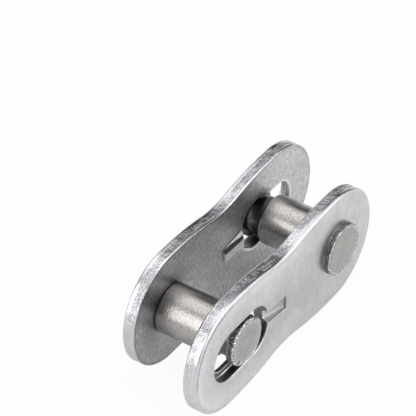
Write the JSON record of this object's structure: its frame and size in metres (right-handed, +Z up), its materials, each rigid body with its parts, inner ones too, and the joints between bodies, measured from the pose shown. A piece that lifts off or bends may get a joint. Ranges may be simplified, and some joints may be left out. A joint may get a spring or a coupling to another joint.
{
  "type": "chain connecting link",
  "caption": "Connecting link for a roller chain: facing figure-of-eight plates, each with a riveted turned pin and a keyhole slot that takes the other plate's pin.",
  "frame": {"origin": "midway between the plates and midway between the pin axes, at the height of the pin axes", "axes": "+X along the link, +Y from the front plate to the back plate along the pins, +Z up across the plates"},
  "size_m": [0.0224, 0.0078, 0.0086],
  "materials": {
    "plate_steel": "satin, stamped, with sheared edges",
    "pin_steel": "satin, turned"
  },
  "bodies": {
    "back_half": {"back_plate": "plate_steel", "back_pin": "pin_steel"},
    "front_half": {"front_plate": "plate_steel", "front_pin": "pin_steel"}
  },
  "joints": [
    {"name": "half_slide", "type": "slide", "parent": "back_half", "child": "front_half", "axis": [1, 0, 0], "range_m": [-0.00079, 0.00161]}
  ]
}
